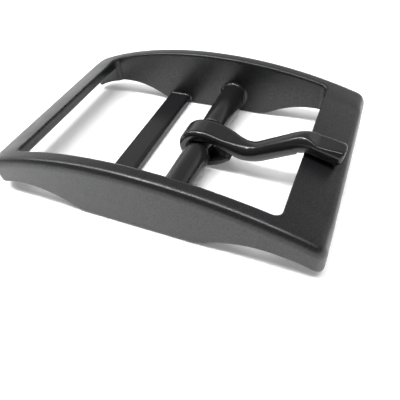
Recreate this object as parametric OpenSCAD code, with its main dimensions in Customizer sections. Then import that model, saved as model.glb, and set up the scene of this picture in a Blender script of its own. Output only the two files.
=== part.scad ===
// Two-bar belt buckle: arched die-cast frame, flat keeper bar, round
// pivot bar with a necked middle, and a bent prong that swings on the neck.
// Millimetres. +X points from the keeper end to the tip end, +Z is up, the
// wearer's outside. The flat feet under the two side rails stand on Z = 0.

/* [Frame] */
// overall length along X, end to end
frame_len = 65.4; // [50:0.1:80]
// overall width across the two side rails
frame_w = 41.6; // [36:0.1:50]
// height of the crown of the arch above the feet
crown_z = 12.5; // [10:0.1:15]
// height of the top edge at the two ends
end_z = 6.75; // [5:0.05:8]
// width of a side rail seen from above
rail_w = 2.65; // [2:0.05:4]
// extra rail width gained at the foot because the inner wall leans
rail_lean = 0.45; // [0:0.05:0.8]
// width of the end bar on the keeper side
keeper_end_w = 6.7; // [4:0.1:9]
// width of the end bar on the tip side
tip_end_w = 7.7; // [5:0.1:10]
// thickness of the end bar on the keeper side
keeper_end_t = 2.2; // [1.6:0.1:3]
// thickness of the end bar on the tip side
tip_end_t = 2.8; // [2:0.1:4]
// half length of the flat foot under each rail
foot_half = 12.3; // [8:0.1:16]
// height of the scallop under each rail end
scallop_z = 3.5; // [2:0.1:4.5]
// distance of the scallop apex from the middle
scallop_x = 23; // [20:0.1:26]
// corner radius in plan on the tip side
tip_corner_r = 1.8; // [0.5:0.1:4]
// corner radius in plan on the keeper side
keeper_corner_r = 3; // [0.5:0.1:5]
// corner radius of the inner opening
inner_r = 1.3; // [0.5:0.1:3]

/* [Keeper bar] */
// centre of the flat bar along X
kbar_x = -8.95; // [-12:0.05:-6]
// width of the flat bar along X
kbar_w = 5.1; // [3:0.1:6]
// underside of the flat bar above the feet
kbar_z0 = 0.25; // [0.1:0.05:1]
// upper face of the flat bar above the feet
kbar_z1 = 2.2; // [1.5:0.05:3]
// radius along the inner upper edge
kbar_r = 0.9; // [0.3:0.1:1.2]

/* [Pivot bar] */
// centre of the round bar along X
pbar_x = 4.8; // [3:0.05:7]
// centre of the round bar above the feet
pbar_z = 4; // [3.5:0.05:5]
// diameter of the round bar
pbar_d = 5.5; // [4.5:0.1:6]
// diameter of the necked middle
neck_d = 4.2; // [3:0.1:5]
// half width of the necked middle
neck_half = 3.8; // [3:0.1:5]
// sideways position of the middle of the neck
neck_y = 0.4; // [0:0.1:1]
// depth of the blind sockets in the rails
socket = 1.2; // [0.8:0.1:1.8]

/* [Prong] */
// width of the loop along the bar
loop_w = 5.1; // [4:0.1:6.4]
// sideways position of the loop middle
loop_y = -0.4; // [-0.6:0.05:0.8]
// running clearance between loop and neck, on the radius
run_gap = 0.05; // [0.02:0.01:0.1]
// diameter of the round shank
shank_d = 3.7; // [3:0.1:4]
// sideways lean of the shank in degrees
lean = -5.6; // [-7:0.1:5]
// free length of the prong from the bar axis to the tip
prong_len = 26.6; // [25:0.1:27]

/* [Hidden] */
$fn = 96;
e = 0.01;
half_l = frame_len / 2;
half_w = frame_w / 2;
rise = crown_z - end_z;
arch_r = (half_l * half_l + rise * rise) / (2 * rise);
arch_z = crown_z - arch_r;
win_x0 = -half_l + keeper_end_w;
win_x1 = half_l - tip_end_w;
in_top = half_w - rail_w;
in_bot = half_w - rail_w - rail_lean;
// half width of the hollow under the end bars
in_hol = in_bot - 0.4;
// scallop circle through the foot end and its apex
sc_dx = scallop_x - foot_half;
sc_c = (scallop_z * scallop_z - sc_dx * sc_dx) / (2 * scallop_z);
sc_r = scallop_z - sc_c;
bore_r = neck_d / 2 + run_gap;
sh_r = shank_d / 2;
// inner wall position at the height of the bars
wall_at = function (z) in_bot + (in_top - in_bot) * z / crown_z;
// corner points of the bent shank centre line, from the bar axis
s0 = [3.4, 3.05];
s1 = [10, 0.55];
s2 = [20.3, 7.05];
a_in = atan2(s1[1] - s0[1], s1[0] - s0[0]);
a_up = atan2(s2[1] - s1[1], s2[0] - s1[0]);
a_tip = -15.5;
s3 = [prong_len, s2[1] + (prong_len - s2[0]) * tan(a_tip)];
valley_r = 6;
crest_r = 3.6;

// points of a rounded rectangle, x0..x1 by -y..y, with corner radius r0 at
// the x0 end and r1 at the x1 end
round_rect = function (x0, x1, y, r0, r1, n = 10) concat(
    [for (i = [0 : n]) let (a = -90 + 90 * i / n) [x1 - r1 + r1 * cos(a), -y + r1 + r1 * sin(a)]],
    [for (i = [0 : n]) let (a = 90 * i / n) [x1 - r1 + r1 * cos(a), y - r1 + r1 * sin(a)]],
    [for (i = [0 : n]) let (a = 90 + 90 * i / n) [x0 + r0 + r0 * cos(a), y - r0 + r0 * sin(a)]],
    [for (i = [0 : n]) let (a = 180 + 90 * i / n) [x0 + r0 + r0 * cos(a), -y + r0 + r0 * sin(a)]]);

// leaning inner walls, as a prism along X
module lean_prism(x0, x1, zt) {
    translate([x0, 0, 0]) rotate([90, 0, 90])
        linear_extrude(height = x1 - x0)
            polygon([[-in_bot + rail_lean / crown_z, -1], [in_bot - rail_lean / crown_z, -1],
                     [in_top, crown_z], [in_top, zt],
                     [-in_top, zt], [-in_top, crown_z]]);
}

module frame() {
    color([0.09, 0.09, 0.095])
    difference() {
        intersection() {
            rotate([90, 0, 0]) translate([0, arch_z, -half_w - 1])
                cylinder(r = arch_r, h = frame_w + 2, $fn = 360);
            linear_extrude(height = crown_z + 1)
                polygon(round_rect(-half_l, half_l, half_w, keeper_corner_r, tip_corner_r));
        }
        for (s = [-1, 1]) {
            // scallop under the rail end
            translate([s * scallop_x, 0, sc_c]) rotate([90, 0, 0])
                cylinder(r = sc_r, h = frame_w + 2, center = true, $fn = 180);
            // rounded lower corner of the rail end
            translate([s * (half_l - 1.35), 0, 3.25]) difference() {
                translate([s > 0 ? 0 : -3, -half_w - 1, -5]) cube([3, frame_w + 2, 5]);
                rotate([90, 0, 0]) cylinder(r = 1.4, h = frame_w + 4, center = true);
            }
        }
        // the window between the four sides
        intersection() {
            translate([0, 0, -1]) linear_extrude(height = crown_z + 3)
                polygon(round_rect(win_x0, win_x1, in_top, inner_r, inner_r, 8));
            lean_prism(-half_l, half_l, crown_z + 4);
        }
        // hollow undersides of the two end bars
        intersection() {
            rotate([90, 0, 0]) translate([0, arch_z, -half_w])
                cylinder(r = arch_r - keeper_end_t, h = frame_w, $fn = 360);
            translate([0, 0, -1]) linear_extrude(height = crown_z)
                translate([-half_l - 1, -in_hol]) square([keeper_end_w + 2, 2 * in_hol]);
        }
        intersection() {
            rotate([90, 0, 0]) translate([0, arch_z, -half_w])
                cylinder(r = arch_r - tip_end_t, h = frame_w, $fn = 360);
            translate([0, 0, -1]) linear_extrude(height = crown_z)
                translate([win_x1 - 1, -in_hol]) square([tip_end_w + 2, 2 * in_hol]);
        }
        // blind sockets for the two bars
        translate([pbar_x, 0, pbar_z]) rotate([90, 0, 0])
            cylinder(r = pbar_d / 2 + e, h = 2 * (in_bot + socket) + 0.04, center = true);
        translate([kbar_x - kbar_w / 2 - e, -(in_bot + socket) - 0.02, kbar_z0 - e])
            cube([kbar_w + 2 * e, 2 * (in_bot + socket) + 0.04, kbar_z1 - kbar_z0 + 2 * e]);
    }
}

module keeper_bar() {
    len = 2 * (in_bot + socket);
    color([0.1, 0.1, 0.105])
    translate([kbar_x, len / 2, 0]) rotate([90, 0, 0])
        linear_extrude(height = len)
            difference() {
                translate([-kbar_w / 2, kbar_z0]) square([kbar_w, kbar_z1 - kbar_z0]);
                translate([kbar_w / 2 - kbar_r, kbar_z1 - kbar_r]) difference() {
                    square([2, 2]);
                    circle(r = kbar_r);
                }
            }
}

module pivot_bar() {
    end = in_bot + socket;
    color([0.1, 0.1, 0.105])
    translate([pbar_x, 0, pbar_z]) {
        translate([0, neck_y, 0]) rotate([90, 0, 0])
            cylinder(d = neck_d, h = 2 * neck_half + 1, center = true);
        for (s = [-1, 1])
            let (shoulder = neck_half + s * neck_y)
            translate([0, s * (shoulder + end) / 2, 0]) rotate([90, 0, 0])
                cylinder(d = pbar_d, h = end - shoulder, center = true);
    }
}

// flat prism in X-Z about the bar axis, as wide as the loop
module slab(w, pts) {
    rotate([90, 0, 0]) translate([0, 0, -w / 2])
        linear_extrude(height = w) polygon(pts);
}

// length of the shank centre line up to each change of curvature
t_v = valley_r * tan((a_up - a_in) / 2);
t_c = crest_r * tan((a_up - a_tip) / 2);
d_in = [cos(a_in), sin(a_in)];
d_up = [cos(a_up), sin(a_up)];
d_tip = [cos(a_tip), sin(a_tip)];
v0 = s1 - d_in * t_v;
v1 = s1 + d_up * t_v;
c0 = s2 - d_up * t_c;
c1 = s2 + d_tip * t_c;
vc = v0 + [-d_in[1], d_in[0]] * valley_r;
cc = c0 + [d_up[1], -d_up[0]] * crest_r;
l1 = norm(v0 - s0);
l2 = l1 + valley_r * (a_up - a_in) * PI / 180;
l3 = l2 + norm(c0 - v1);
l4 = l3 + crest_r * (a_up - a_tip) * PI / 180;
l5 = l4 + norm(s3 - c1);

// direction of the centre line at length s, in degrees
heading = function (s)
    s < l1 ? a_in :
    s < l2 ? a_in + (a_up - a_in) * (s - l1) / (l2 - l1) :
    s < l3 ? a_up :
    s < l4 ? a_up + (a_tip - a_up) * (s - l3) / (l4 - l3) : a_tip;
// point of the centre line at length s
spine = function (s)
    let (h = heading(s))
    s < l1 ? s0 + d_in * s :
    s < l2 ? vc + [sin(h), -cos(h)] * valley_r :
    s < l3 ? v1 + d_up * (s - l2) :
    s < l4 ? cc + [-sin(h), cos(h)] * crest_r : c1 + d_tip * (s - l4);

// sideways drift of the centre line, which straightens over the crest
drift = function (x) tan(lean) * (x < 18 ? x : x < 22.6 ? x - pow(x - 18, 2) / 9.2 : 20.3);

smooth = function (a, b, x) let (t = max(0, min(1, (x - a) / (b - a)))) t * t * (3 - 2 * t);
spow = function (v, p) (v < 0 ? -1 : 1) * pow(abs(v), p);

ring_n = 32;
dome = 1.1;
// stations along the shank, closer together in the bends and at the tip
stations = concat(
    [for (i = [0 : 5]) l1 * i / 6],
    [for (i = [0 : 11]) l1 + (l2 - l1) * i / 12],
    [for (i = [0 : 3]) l2 + (l3 - l2) * i / 4],
    [for (i = [0 : 9]) l3 + (l4 - l3) * i / 10],
    [for (i = [0 : 3]) l4 + (l5 - dome - l4) * i / 4],
    [for (i = [0 : 6]) l5 - dome + dome * sin(90 * i / 6)]);

// one cross-section of the shank at length s: flat and wide at the root,
// round from the valley on, a little wider and scooped on top at the tip
section = function (s)
    let (p = spine(s), h = heading(s),
         k = smooth(0, 7.5, s), kt = smooth(l3 + 0.6, l4 + 1.4, s),
         cap = s > l5 - dome ? sqrt(max(0, 1 - pow((s - l5 + dome) / dome, 2))) : 1,
         sh = (sh_r - dome + dome * cap) / sh_r,
         w = (2.45 * (1 - k) + sh_r * k + 0.15 * kt) * sh,
         t = (0.95 * (1 - k) + sh_r * k) * sh,
         n = 5 * (1 - k) + 2 * k + 0.2 * kt,
         flat = 1.85 - 0.75 * smooth(l3 + 0.9, l4 + 0.6, s) + 0.5 * smooth(l4, l5, s))
    [for (i = [0 : ring_n - 1])
        let (f = 360 * i / ring_n,
             y = w * spow(cos(f), 2 / n),
             q = min(t * spow(sin(f), 2 / n), flat),
             x = p[0] - q * sin(h), z = p[1] + q * cos(h),
             yr = y + drift(x),
             xa = x + pbar_x,
             seat = xa > win_x1 - 0.4 ? arch_z + sqrt(pow(arch_r + 0.04, 2) - xa * xa) - pbar_z : -99)
        [x, yr + loop_y, max(z, seat)]];

module shank() {
    rings = [for (s = stations) section(s)];
    m = len(rings);
    pts = concat([for (r = rings) each r],
                 [[spine(0)[0], drift(spine(0)[0]) + loop_y, spine(0)[1]],
                  (rings[m - 1][0] + rings[m - 1][ring_n / 2]) / 2]);
    faces = concat(
        [for (j = [0 : m - 2], i = [0 : ring_n - 1])
            let (a = j * ring_n + i, b = j * ring_n + (i + 1) % ring_n,
                 c = b + ring_n, d = a + ring_n) each [[a, c, b], [a, d, c]]],
        [for (i = [0 : ring_n - 1]) [m * ring_n, i, (i + 1) % ring_n]],
        [for (i = [0 : ring_n - 1])
            [m * ring_n + 1, (m - 1) * ring_n + (i + 1) % ring_n, (m - 1) * ring_n + i]]);
    polyhedron(points = pts, faces = faces, convexity = 6);
}

module prong() {
    color([0.1, 0.1, 0.105])
    translate([pbar_x, 0, pbar_z])
    union() {
        translate([0, loop_y, 0]) difference() {
            union() {
                translate([-0.33, 0, 0.43]) rotate([90, 0, 0])
                    cylinder(r = 4.18, h = loop_w, center = true);
                // strap running down to the shank
                slab(loop_w, [[-0.3, 4.6], [1.5, 4.5], [3.6, 3.85], [5, 3.3],
                              [5, 1.1], [3, 1.9], [0, 2.6]]);
                // tail curled up under the strap
                slab(loop_w - 0.2, [[-0.4, -3.7], [1.4, -3.5], [3, -2.95], [4.3, -2.3],
                              [5.4, -1.4], [6.3, -0.55], [6.8, 0.1], [6.2, 0.45],
                              [5, -0.1], [3.8, -0.8], [2, -1.2], [0, -2]]);
            }
            // gap between strap and tail
            slab(loop_w + 1, [[1.2, 1.7], [3, 1.8], [5.2, 0.95], [5.4, 0],
                              [5, -0.15], [3.8, -0.85], [2.4, -1.2], [1.5, -1]]);
            rotate([90, 0, 0]) cylinder(r = bore_r, h = loop_w + 1, center = true);
        }
        shank();
    }
}

frame();
keeper_bar();
pivot_bar();
prong();
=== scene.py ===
# Belt buckle: smooth filleted bodies with a matt black coating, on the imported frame.
import bpy
import numpy as np
from mathutils import Matrix, Vector


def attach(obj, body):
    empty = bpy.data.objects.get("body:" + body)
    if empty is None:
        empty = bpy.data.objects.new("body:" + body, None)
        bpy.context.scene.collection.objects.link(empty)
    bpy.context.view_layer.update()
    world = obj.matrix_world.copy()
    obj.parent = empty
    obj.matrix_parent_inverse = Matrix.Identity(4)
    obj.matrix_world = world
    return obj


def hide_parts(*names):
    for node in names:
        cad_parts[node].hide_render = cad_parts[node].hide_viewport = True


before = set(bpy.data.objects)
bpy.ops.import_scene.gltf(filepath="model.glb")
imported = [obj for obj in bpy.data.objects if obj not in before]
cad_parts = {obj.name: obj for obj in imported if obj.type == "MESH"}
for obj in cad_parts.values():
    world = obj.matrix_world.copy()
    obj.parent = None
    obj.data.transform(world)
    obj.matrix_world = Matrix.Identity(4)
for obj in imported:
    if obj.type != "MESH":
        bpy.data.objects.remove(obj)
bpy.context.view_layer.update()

MM = 0.001

# ---------------------------------------------------------------- dimensions, mm, CAD frame
HL, HW = 32.7, 20.8            # half length, half width of the frame
R_TIP, R_KEEP = 1.8, 3.0       # plan corner radii
WX0, WX1 = -26.0, 25.0         # ends of the window
BULGE = 0.4                    # the rounded sides swell this much past the straight outline
IN_BOT, IN_TOP, CROWN = 17.7, 18.15, 12.5
SC_X, SC_C, SC_R = 23.0, -14.607, 18.107
PX, PZ = 4.8, 4.0              # pivot bar axis
PR, NR = 2.75, 2.1             # bar radius, neck radius
NH, NY = 3.8, 0.4              # neck half length and middle
KX0, KX1, KZ0, KZ1 = -11.5, -6.4, 0.25, 2.2
LOOP_Y, LEAN = -0.4, np.radians(-5.6)


def top_z(x):
    """The arched upper face, a shallow quartic over the length."""
    s = x / HL
    return 6.75 + 0.925 * (-5.801 * (s**2 - 1) + 0.380 * (s**3 - s) - 0.447 * (s**4 - 1))


def top_slope(x):
    s = x / HL
    return 0.925 * (-5.801 * 2 * s + 0.380 * (3 * s**2 - 1) - 0.447 * 4 * s**3) / HL


def in_y(z):
    """Half width of the window, which opens upward."""
    return IN_BOT + (IN_TOP - IN_BOT) * np.clip(z, -1, 13) / CROWN


# ---------------------------------------------------------------- distance helpers
def cut_round(a, b, r):
    """Both a and b, with the outside corner rounded."""
    return np.minimum(-r, np.maximum(a, b)) + np.hypot(np.maximum(r + a, 0), np.maximum(r + b, 0))


def join_round(a, b, r):
    """Either a or b, with the inside corner filleted."""
    return np.maximum(r, np.minimum(a, b)) - np.hypot(np.maximum(r - a, 0), np.maximum(r - b, 0))


def rrect(x, y, hx, hy, r):
    qx, qy = np.abs(x) - (hx - r), np.abs(y) - (hy - r)
    return np.minimum(np.maximum(qx, qy), 0) + np.hypot(np.maximum(qx, 0), np.maximum(qy, 0)) - r


# ---------------------------------------------------------------- the pieces as distance fields
def frame_field(p):
    x, y, z = p[..., 0], p[..., 1], p[..., 2]
    outer = rrect(x, y, HL, HW + BULGE, np.where(x > 0, R_TIP, R_KEEP))
    top = (z - top_z(x)) / np.sqrt(1 + top_slope(x) ** 2)
    # the long sides roll over into the top along a crisp line, the ends are plainly rounded
    k = np.clip((np.abs(y) - 14.0) / 4.0, 0, 1); k = k * k * (3 - 2 * k)
    body = cut_round(outer, top - 0.268 * k, 1.2 + 0.8 * k)
    body = cut_round(body, top, 0.3)
    sc = np.maximum(SC_R - np.hypot(np.abs(x) - SC_X, z - SC_C), -50)
    under = cut_round(-z, sc, 1.2)
    k = np.clip((np.abs(x) - 25.5) / 5.5, 0, 1); k = k * k * (3 - 2 * k)
    body = cut_round(body, under, 0.45 + 0.45 * k)
    xc, hx = (WX0 + WX1) / 2, (WX1 - WX0) / 2
    window = rrect(x - xc, y, hx, in_y(z), 1.3)
    body = cut_round(body, -window, np.where(top > -1.5, 0.55, 0.32))
    t = np.where(x < 0, 2.2, 2.8)
    hollow = np.maximum(z - (top_z(x) - t * np.sqrt(1 + top_slope(x) ** 2)), np.abs(y) - 17.3)
    hollow = np.maximum(hollow, 24.2 - np.abs(x))
    return cut_round(body, -hollow, 0.35)


def bar_ends(bar, y, z, r):
    """A bar that flares into the inner walls of the rails."""
    wall = in_y(z) - np.abs(y)
    d = join_round(bar, wall, r)
    return np.maximum(np.maximum(d, bar - r), -wall - 0.45)


def pivot_field(p):
    x, y, z = p[..., 0], p[..., 1], p[..., 2]
    rad = np.hypot(x - PX, z - PZ)
    big = cut_round(rad - PR, NH - np.abs(y - NY), 0.38)
    d = np.minimum(big, np.maximum(rad - NR, np.abs(y - NY) - NH - 1))
    return bar_ends(d, y, z, 0.6)


def keeper_field(p):
    x, y, z = p[..., 0], p[..., 1], p[..., 2]
    d = cut_round(KX0 - x, z - KZ1, 0.35)
    d = cut_round(d, x - KX1, 0.85)
    d = cut_round(d, KZ0 - z, 0.3)
    return np.maximum(bar_ends(d, y, z, 0.4), 0.06 - z)


# ---- prong: one strip swept along a curve in X-Z about the bar axis
def prong_path():
    """Stations of the prong: s, x, z, half width, half thickness, corner radius."""
    pts = []
    # tail under the neck, then round the left and over the top
    tail = [(6.35, 0.05), (5.55, -0.65), (4.5, -1.45), (3.3, -2.15), (1.9, -2.7), (0.4, -2.98)]
    for i, (x, z) in enumerate(tail):
        pts.append((x, z, 2.4, 0.62 + 0.07 * min(i, 3), 0.55))
    for a in range(-100, -271, -10):
        f = (-100 - a) / 170.0
        r = 2.98 + 0.40 * np.sin(np.pi * min(f * 1.15, 1) / 2)
        th = r - 2.15
        pts.append((r * np.cos(np.radians(a)), r * np.sin(np.radians(a)), 2.55, max(th, 0.8), 1.0))
    pts += [(1.2, 3.46, 2.53, 1.15, 0.95), (2.4, 3.28, 2.5, 1.08, 0.85), (3.6, 2.98, 2.48, 1.05, 0.8)]
    # straight, valley, straight, crest, straight
    s0, s1, s2 = np.array([3.4, 3.05]), np.array([10.0, 0.8]), np.array([20.3, 7.05])
    a_in = np.arctan2(s1[1] - s0[1], s1[0] - s0[0])
    a_up = np.arctan2(s2[1] - s1[1], s2[0] - s1[0])
    a_tip = np.radians(-15.5)
    vr, cr = 6.0, 3.6
    s3 = np.array([26.6, s2[1] + (26.6 - s2[0]) * np.tan(a_tip)])
    u = lambda a: np.array([np.cos(a), np.sin(a)])
    tv, tc = vr * np.tan((a_up - a_in) / 2), cr * np.tan((a_up - a_tip) / 2)
    v0, v1 = s1 - u(a_in) * tv, s1 + u(a_up) * tv
    c0, c1 = s2 - u(a_up) * tc, s2 + u(a_tip) * tc
    vc = v0 + np.array([-np.sin(a_in), np.cos(a_in)]) * vr
    cc = c0 + np.array([np.sin(a_up), -np.cos(a_up)]) * cr
    line = [s0 + (v0 - s0) * t for t in np.linspace(0.25, 1, 5)[:-1]]
    line += [vc + np.array([np.sin(h), -np.cos(h)]) * vr for h in np.linspace(a_in, a_up, 14)]
    line += [v1 + (c0 - v1) * t for t in np.linspace(0, 1, 8)[1:-1]]
    line += [cc + np.array([-np.sin(h), np.cos(h)]) * cr for h in np.linspace(a_up, a_tip, 12)]
    line += [c1 + (s3 - c1) * t for t in np.linspace(0, 1, 8)[1:]]
    line = np.array(line)
    run = np.concatenate([[0], np.cumsum(np.linalg.norm(np.diff(line, axis=0), axis=1))])
    for (x, z), s in zip(line, run):
        k = np.clip((s + 1.3) / 6.0, 0, 1)
        k = k * k * (3 - 2 * k)
        e = np.clip((x - 19.4) / 4.0, 0, 1)
        e = e * e * (3 - 2 * e)
        kw = np.clip((s + 0.3) / 8.5, 0, 1)
        kw = kw * kw * (3 - 2 * kw)
        w = 2.48 * (1 - kw) + 1.85 * kw + 0.15 * e
        t = 1.02 * (1 - k) + 1.85 * k
        c = 0.8 * (1 - k) + 1.85 * k - 0.1 * e
        pts.append((x, z, w, t, c))
    return np.array(pts)


PATH = prong_path()
_d = np.concatenate([[0], np.cumsum(np.linalg.norm(np.diff(PATH[:, :2], axis=0), axis=1))])
_n = 1400
_s = np.linspace(0, _d[-1], _n)


def _smooth_interp(col, wide=18):
    v = np.interp(_s, _d, col)
    k = np.hanning(wide * 2 + 1); k /= k.sum()
    pad = np.concatenate([2 * v[0] - v[1:wide + 1][::-1], v, 2 * v[-1] - v[-wide - 1:-1][::-1]])
    return np.convolve(pad, k, "valid")


FINE = np.stack([_smooth_interp(PATH[:, i]) for i in range(5)], 1)
TAN = np.gradient(FINE[:, :2], axis=0)
TAN /= np.linalg.norm(TAN, axis=1)[:, None]
TIP_LEN = _d[-1]


# nearest station of the curve for every point of its plane, looked up instead of searched
_TX, _TZ, _TH = np.arange(-6.5, 28.6, 0.06), np.arange(-5.5, 10.6, 0.06), 0.06


def _table():
    gx, gz = np.meshgrid(_TX, _TZ, indexing="ij")
    q = np.stack([gx.ravel(), gz.ravel()], 1)
    out = np.empty(len(q), int)
    c = FINE[::3, :2]
    for a in range(0, len(q), 8192):
        b = q[a:a + 8192]
        d2 = -2 * b @ c.T + (c ** 2).sum(1)[None]
        out[a:a + 8192] = d2.argmin(1) * 3
    return out.reshape(gx.shape)


NEAREST = _table()


def prong_field(p):
    # into the prong's own plane: it drifts sideways along the shank and straightens over the crest
    x, y0, z = p[..., 0] - PX, p[..., 1] - LOOP_Y, p[..., 2] - PZ
    k = np.clip((x - 2.0) / 7.0, 0, 1); k = k * k * (3 - 2 * k)
    run = np.where(x < 18, x, np.where(x < 22.6, x - (x - 18) ** 2 / 9.2, 20.3))
    y = y0 - np.tan(LEAN) * run * k
    shape = x.shape
    q = np.stack([x.ravel(), z.ravel()], 1)
    ix = np.clip(np.rint((q[:, 0] - _TX[0]) / _TH).astype(int), 0, len(_TX) - 1)
    iz = np.clip(np.rint((q[:, 1] - _TZ[0]) / _TH).astype(int), 0, len(_TZ) - 1)
    idx = NEAREST[ix, iz]
    # one refinement along the curve
    e = q - FINE[idx, :2]
    idx = np.clip(idx + np.rint((e * TAN[idx]).sum(1) / (_s[1] - _s[0])).astype(int), 0, _n - 1)
    e = q - FINE[idx, :2]
    along = (e * TAN[idx]).sum(1)
    side = (-e[:, 0] * TAN[idx, 1] + e[:, 1] * TAN[idx, 0])
    w, t, r = FINE[idx, 2], FINE[idx, 3], np.minimum(FINE[idx, 4], FINE[idx, 3])
    w = np.maximum(w, r)
    qx, qy = np.abs(y.ravel()) - (w - r), np.abs(side) - (t - r)
    d = np.minimum(np.maximum(qx, qy), 0) + np.hypot(np.maximum(qx, 0), np.maximum(qy, 0)) - r
    # ends of the strip
    over = np.where(idx >= _n - 3, along, -99.0)
    d = cut_round(d, np.maximum(over, (_s[idx] - TIP_LEN)), 0.8)
    d = cut_round(d, np.where(idx <= 2, -along, -_s[idx]), 0.5)
    # scoop pressed in the top of the tip, deepest just past the crest
    xf = FINE[idx, 0]
    e = np.clip((xf - 19.7) / 2.6, 0, 1)
    g = np.clip((xf - 22.0) / 4.6, 0, 1)
    deep = 1.87 - 0.85 * e * e * (3 - 2 * e) + 0.62 * g
    d = cut_round(d, np.where(xf > 19.0, side - deep, -9.0), 0.2)
    # seat on the end bar
    xa = q[:, 0] + PX
    seat = (top_z(xa) - (q[:, 1] + PZ)) / np.sqrt(1 + top_slope(xa) ** 2) + 0.05
    d = np.maximum(d, np.where(xa > WX1 - 1.2, seat, -9.0))
    # bore on the neck
    bore = 2.15 - np.hypot(x.ravel(), z.ravel())
    d = np.maximum(d, bore)
    return d.reshape(shape)


# ---------------------------------------------------------------- field to mesh
def net(field, lo, hi, h):
    """Surface nets: one vertex in each cell that the surface crosses, then moved onto the surface."""
    n = [int(np.ceil((b - a) / h)) + 1 for a, b in zip(lo, hi)]
    ax = [a + h * np.arange(m) for a, m in zip(lo, n)]
    v = np.empty(n, np.float32)
    for i in range(0, n[0], 24):
        g = np.stack(np.meshgrid(ax[0][i:i + 24], ax[1], ax[2], indexing="ij"), -1)
        v[i:i + 24] = field(g)
    inside = v < 0
    nx, ny, nz = n
    acc = np.zeros((nx - 1, ny - 1, nz - 1, 3), np.float32)
    cnt = np.zeros((nx - 1, ny - 1, nz - 1), np.float32)
    steps = np.eye(3, dtype=int)
    for a in range(3):
        o = [1 if j == a else 0 for j in range(3)]
        s0 = tuple(slice(0, n[j] - o[j]) for j in range(3))
        s1 = tuple(slice(o[j], n[j]) for j in range(3))
        va, vb = v[s0], v[s1]
        cross = inside[s0] != inside[s1]
        ii = np.argwhere(cross)
        t = va[cross] / (va[cross] - vb[cross])
        pos = ii.astype(np.float32); pos[:, a] += t
        b, c = [j for j in range(3) if j != a]
        for db in (0, -1):
            for dc in (0, -1):
                cell = ii.copy(); cell[:, b] += db; cell[:, c] += dc
                ok = ((cell >= 0) & (cell < np.array(n) - 1)).all(1)
                cc = tuple(cell[ok].T)
                np.add.at(acc, cc, pos[ok]); np.add.at(cnt, cc, 1)
    live = cnt > 0
    ids = -np.ones(live.shape, int)
    ids[live] = np.arange(live.sum())
    verts = acc[live] / cnt[live][:, None] * h + np.array(lo)
    quads = []
    for a in range(3):
        o = [1 if j == a else 0 for j in range(3)]
        s0 = tuple(slice(0, n[j] - o[j]) for j in range(3))
        s1 = tuple(slice(o[j], n[j]) for j in range(3))
        cross = inside[s0] != inside[s1]
        ii = np.argwhere(cross)
        first = inside[s0][cross]
        b, c = (a + 1) % 3, (a + 2) % 3
        ok = (ii[:, b] > 0) & (ii[:, c] > 0) & (ii[:, b] < n[b] - 1) & (ii[:, c] < n[c] - 1)
        ii, first = ii[ok], first[ok]
        def cell(db, dc):
            k = ii.copy(); k[:, b] += db; k[:, c] += dc
            return ids[tuple(k.T)]
        q = np.stack([cell(-1, -1), cell(0, -1), cell(0, 0), cell(-1, 0)], 1)
        q[~first] = q[~first][:, ::-1]
        quads.append(q)
    quads = np.concatenate(quads)
    e = 0.02
    def grad(pts):
        g = np.stack([field(pts + e * np.eye(3)[j]) - field(pts - e * np.eye(3)[j]) for j in range(3)], 1)
        return g / (2 * e)
    pts = verts.astype(float)
    for _ in range(3):
        f = field(pts); g = grad(pts)
        step = f[:, None] * g / np.maximum((g ** 2).sum(1), 0.3)[:, None]
        ln = np.linalg.norm(step, axis=1, keepdims=True)
        pts -= step * np.minimum(1, 0.5 * h / np.maximum(ln, 1e-9))
    g = grad(pts)
    return pts, quads, g / np.maximum(np.linalg.norm(g, axis=1), 1e-9)[:, None]


def piece(name, field, lo, hi, h, body, nodes, mat):
    pts, quads, nrm = net(field, lo, hi, h)
    me = bpy.data.meshes.new(name)
    me.from_pydata((pts * MM).tolist(), [], quads.tolist())
    me.validate()
    me.polygons.foreach_set("use_smooth", [True] * len(me.polygons))
    # how convex the surface is near each point, for the rubbed edges
    r = 0.45
    conv = np.clip((field(pts + nrm * 0.0 - nrm * r) + r) / r, 0, 1)
    at = me.attributes.new("edge", "FLOAT", "POINT")
    if len(me.vertices) == len(pts):
        at.data.foreach_set("value", conv.astype(np.float32))
        me.normals_split_custom_set_from_vertices(nrm.tolist())
    ob = bpy.data.objects.new(name, me)
    bpy.context.scene.collection.objects.link(ob)
    me.materials.append(mat)
    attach(ob, body)
    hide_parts(*nodes)
    return ob


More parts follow.
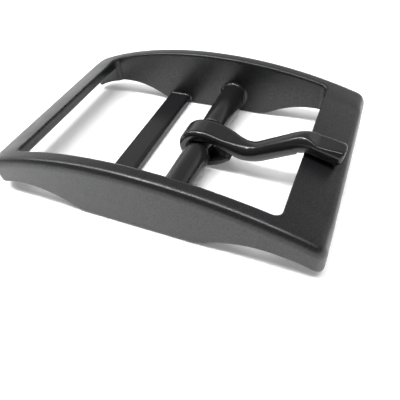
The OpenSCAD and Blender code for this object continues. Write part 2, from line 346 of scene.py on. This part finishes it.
# ---------------------------------------------------------------- materials
def coating(name, base, rough, grain=1.0, spec=0.5, coat=0.0, wear=0.0):
    """Dark powder coat or plated lacquer: mottled tone, fine grain bump, edges rubbed a little smoother."""
    m = bpy.data.materials.new(name)
    m.use_nodes = True
    nt = m.node_tree
    N, L = nt.nodes, nt.links
    b = N["Principled BSDF"]
    b.inputs["Metallic"].default_value = 0.0
    b.inputs["IOR"].default_value = 1.5
    b.inputs["Coat Weight"].default_value = coat
    b.inputs["Coat Roughness"].default_value = 0.2
    tc = N.new("ShaderNodeTexCoord")

    def noise(scale, detail=3, rough_=0.55):
        n = N.new("ShaderNodeTexNoise")
        n.inputs["Scale"].default_value = scale
        n.inputs["Detail"].default_value = detail
        n.inputs["Roughness"].default_value = rough_
        L.new(tc.outputs["Object"], n.inputs["Vector"])
        return n.outputs["Fac"]

    def ramp(src, a, b_, lo=0.3, hi=0.7):
        r = N.new("ShaderNodeMapRange")
        r.inputs["From Min"].default_value = lo
        r.inputs["From Max"].default_value = hi
        r.inputs["To Min"].default_value = a
        r.inputs["To Max"].default_value = b_
        L.new(src, r.inputs["Value"])
        return r.outputs["Result"]

    cloud, fine = noise(160, 4), noise(3800, 2, 0.6)
    edge = N.new("ShaderNodeAttribute")
    edge.attribute_name = "edge"
    # colour: base, slightly clouded, a little lighter on rubbed edges
    mixc = N.new("ShaderNodeMix"); mixc.data_type = "RGBA"
    mixc.inputs["A"].default_value = (base[0] * 0.8, base[1] * 0.8, base[2] * 0.8, 1)
    mixc.inputs["B"].default_value = (base[0] * 1.25, base[1] * 1.25, base[2] * 1.25, 1)
    add = N.new("ShaderNodeMath"); add.operation = "ADD"
    half = N.new("ShaderNodeMath"); half.operation = "MULTIPLY"; half.inputs[1].default_value = 0.5
    L.new(ramp(cloud, 0, 1), half.inputs[0])
    half2 = N.new("ShaderNodeMath"); half2.operation = "MULTIPLY"; half2.inputs[1].default_value = 0.5
    L.new(ramp(fine, 0, 1, 0.35, 0.65), half2.inputs[0])
    L.new(half.outputs[0], add.inputs[0]); L.new(half2.outputs[0], add.inputs[1])
    L.new(add.outputs[0], mixc.inputs["Factor"])
    mixe = N.new("ShaderNodeMix"); mixe.data_type = "RGBA"
    L.new(mixc.outputs["Result"], mixe.inputs["A"])
    mixe.inputs["B"].default_value = (base[0] * 2.2, base[1] * 2.2, base[2] * 2.2, 1)
    ef = N.new("ShaderNodeMath"); ef.operation = "MULTIPLY"; ef.inputs[1].default_value = wear
    L.new(edge.outputs["Fac"], ef.inputs[0])
    L.new(ef.outputs[0], mixe.inputs["Factor"])
    L.new(mixe.outputs["Result"], b.inputs["Base Color"])
    # roughness: mottled, smoother where rubbed
    rr = N.new("ShaderNodeMath"); rr.operation = "ADD"
    L.new(ramp(noise(420, 3), rough - 0.035, rough + 0.035), rr.inputs[0])
    es = N.new("ShaderNodeMath"); es.operation = "MULTIPLY"; es.inputs[1].default_value = -0.10
    L.new(edge.outputs["Fac"], es.inputs[0])
    L.new(es.outputs[0], rr.inputs[1])
    L.new(rr.outputs[0], b.inputs["Roughness"])
    # tiny pits and glints of the coating
    L.new(ramp(noise(3600, 2, 0.7), spec - 0.085 * grain, spec + 0.085 * grain, 0.36, 0.64), b.inputs["Specular IOR Level"])
    # orange-peel and powder grain
    bump = N.new("ShaderNodeBump")
    bump.inputs["Strength"].default_value = 0.16 * grain
    bump.inputs["Distance"].default_value = 0.00003
    L.new(noise(3000, 3, 0.6), bump.inputs["Height"])
    peel = N.new("ShaderNodeBump")
    peel.inputs["Strength"].default_value = 0.12 * grain
    peel.inputs["Distance"].default_value = 0.00006
    L.new(noise(700, 2), peel.inputs["Height"])
    L.new(bump.outputs["Normal"], peel.inputs["Normal"])
    L.new(peel.outputs["Normal"], b.inputs["Normal"])
    return m


BLK = (0.0085, 0.0085, 0.0093)
m_frame = coating("frame_black", BLK, 0.31, 1.3, 0.5)
m_keeper = coating("keeper_black", BLK, 0.30, 0.8, 0.5)
m_pivot = coating("pivot_black", (0.010, 0.010, 0.0103), 0.22, 0.6, 0.5)
m_prong = coating("prong_black", (0.009, 0.009, 0.0093), 0.20, 0.5, 0.5)

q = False
piece("frame_shell", frame_field, (-33.6, -21.7, -0.97), (33.6, 21.7, 13.4), 0.45 if q else 0.3,
      "frame", ["frame"], m_frame)
piece("pivot_bar_turned", pivot_field, (PX - 3.9, -18.9, PZ - 3.9), (PX + 3.9, 18.9, PZ + 3.9), 0.25 if q else 0.18,
      "frame", ["pivot_bar"], m_pivot)
piece("keeper_bar_flat", keeper_field, (KX0 - 0.9, -18.9, -0.4), (KX1 + 0.9, 18.9, KZ1 + 0.9), 0.25 if q else 0.18,
      "frame", ["keeper_bar"], m_keeper)
piece("prong_formed", prong_field, (-0.5, -4.6, -0.6), (32.2, 3.6, 13.6), 0.22 if q else 0.15,
      "prong", ["prong"], m_prong)


# ---------------------------------------------------------------- stage, light, camera
def stage():
    me = bpy.data.meshes.new("floor")
    s = 1.6
    me.from_pydata([(-s, -s, 0), (s, -s, 0), (s, s, 0), (-s, s, 0)], [], [(0, 1, 2, 3)])
    ob = bpy.data.objects.new("floor", me)
    bpy.context.scene.collection.objects.link(ob)
    m = bpy.data.materials.new("floor_white")
    m.use_nodes = True
    b = m.node_tree.nodes["Principled BSDF"]
    b.inputs["Base Color"].default_value = (0.9, 0.9, 0.9, 1)
    b.inputs["Roughness"].default_value = 0.9
    b.inputs["Specular IOR Level"].default_value = 0.1
    b.inputs["Emission Color"].default_value = (1, 1, 1, 1)
    b.inputs["Emission Strength"].default_value = 0.15
    me.materials.append(m)


stage()


def area(name, loc, target, size, power, size_y=None):
    li = bpy.data.lights.new(name, "AREA")
    li.shape = "RECTANGLE" if size_y else "DISK"
    li.size = size
    if size_y:
        li.size_y = size_y
    li.energy = power
    ob = bpy.data.objects.new(name, li)
    bpy.context.scene.collection.objects.link(ob)
    ob.location = loc
    ob.rotation_euler = (Vector(target) - Vector(loc)).to_track_quat("-Z", "Y").to_euler()
    return ob


def polar(az, el, dist):
    a, e = np.radians(az), np.radians(el)
    return (dist * np.cos(e) * np.cos(a), dist * np.cos(e) * np.sin(a), dist * np.sin(e))


# a long strip light overhead, running off to the left
strip = area("strip", (-0.40, -0.07, 0.60), (-0.40, 0.0, 0.0), 1.40, 6.2, 0.08)
# its bright middle, for the small sharp glints
area("core", (-0.24, -0.14, 0.58), (0, 0, 0), 0.04, 0.9)
# a broad soft panel above that only fills the ground and the matt surfaces
top = area("overhead_soft", (0.0, 0.22, 1.0), (0, 0, 0), 1.0, 6.8)
top.visible_glossy = False

w = bpy.data.worlds.new("studio")
bpy.context.scene.world = w
w.use_nodes = True
nt = w.node_tree
bg = nt.nodes["Background"]
tc = nt.nodes.new("ShaderNodeTexCoord")
sep = nt.nodes.new("ShaderNodeSeparateXYZ")
nt.links.new(tc.outputs["Generated"], sep.inputs[0])


def ramp(src, stops):
    r = nt.nodes.new("ShaderNodeValToRGB")
    nt.links.new(src, r.inputs["Fac"])
    e = r.color_ramp.elements
    e[0].position, e[1].position = stops[0][0], stops[-1][0]
    e[0].color = (*[stops[0][1]] * 3, 1)
    e[1].color = (*[stops[-1][1]] * 3, 1)
    for pos, v in stops[1:-1]:
        e.new(pos).color = (v, v, v, 1)
    return r.outputs["Color"]


# the room: bright low down, darker higher up; front and back walls differ
back = ramp(sep.outputs["Z"], [(0.0, 0.6), (0.14, 0.75), (0.25, 1.05), (0.5, 0.75), (0.64, 0.35), (0.85, 0.28), (1.0, 0.4)])
front = ramp(sep.outputs["Z"], [(0.0, 1.2), (0.06, 0.5), (0.16, 0.15), (0.6, 0.15), (0.8, 0.25), (1.0, 0.4)])
mr = nt.nodes.new("ShaderNodeMapRange")
mr.inputs["From Min"].default_value = -0.25
mr.inputs["From Max"].default_value = 0.35
nt.links.new(sep.outputs["Y"], mr.inputs["Value"])
mx = nt.nodes.new("ShaderNodeMix"); mx.data_type = "RGBA"
nt.links.new(mr.outputs["Result"], mx.inputs["Factor"])
nt.links.new(front, mx.inputs["A"])
nt.links.new(back, mx.inputs["B"])
left = nt.nodes.new("ShaderNodeMapRange")
left.inputs["From Min"].default_value = -0.2
left.inputs["From Max"].default_value = -0.8
left.inputs["To Min"].default_value = 1.0
left.inputs["To Max"].default_value = 1.15
nt.links.new(sep.outputs["X"], left.inputs["Value"])
sc = nt.nodes.new("ShaderNodeVectorMath"); sc.operation = "SCALE"
nt.links.new(mx.outputs["Result"], sc.inputs[0])
nt.links.new(left.outputs["Result"], sc.inputs["Scale"])
nt.links.new(sc.outputs["Vector"], bg.inputs["Color"])
bg.inputs["Strength"].default_value = 1.0

cam_d = bpy.data.cameras.new("camera")
cam = bpy.data.objects.new("camera", cam_d)
bpy.context.scene.collection.objects.link(cam)
K = 0.925
C = np.array([34.346, -58.7475, 50.3032 + 7.3]) * K
right, down, fwd = np.array([0.9172, 0.388, -0.0907]), np.array([0.2322, -0.7054, -0.6697]), np.array([-0.3238, 0.5932, -0.7371])
fwd /= np.linalg.norm(fwd)
right -= fwd * (right @ fwd); right /= np.linalg.norm(right)
down = np.cross(fwd, right)
M = Matrix([[right[i], -down[i], -fwd[i], C[i] * MM] for i in range(3)] + [[0, 0, 0, 1]])
cam.matrix_world = M
cam_d.sensor_width = 36.0
cam_d.lens = 382.647 / 400 * 36.0
cam_d.clip_start = 0.001
bpy.context.scene.camera = cam
bpy.context.scene.view_settings.view_transform = "Standard"
bpy.context.scene.view_settings.look = "None"
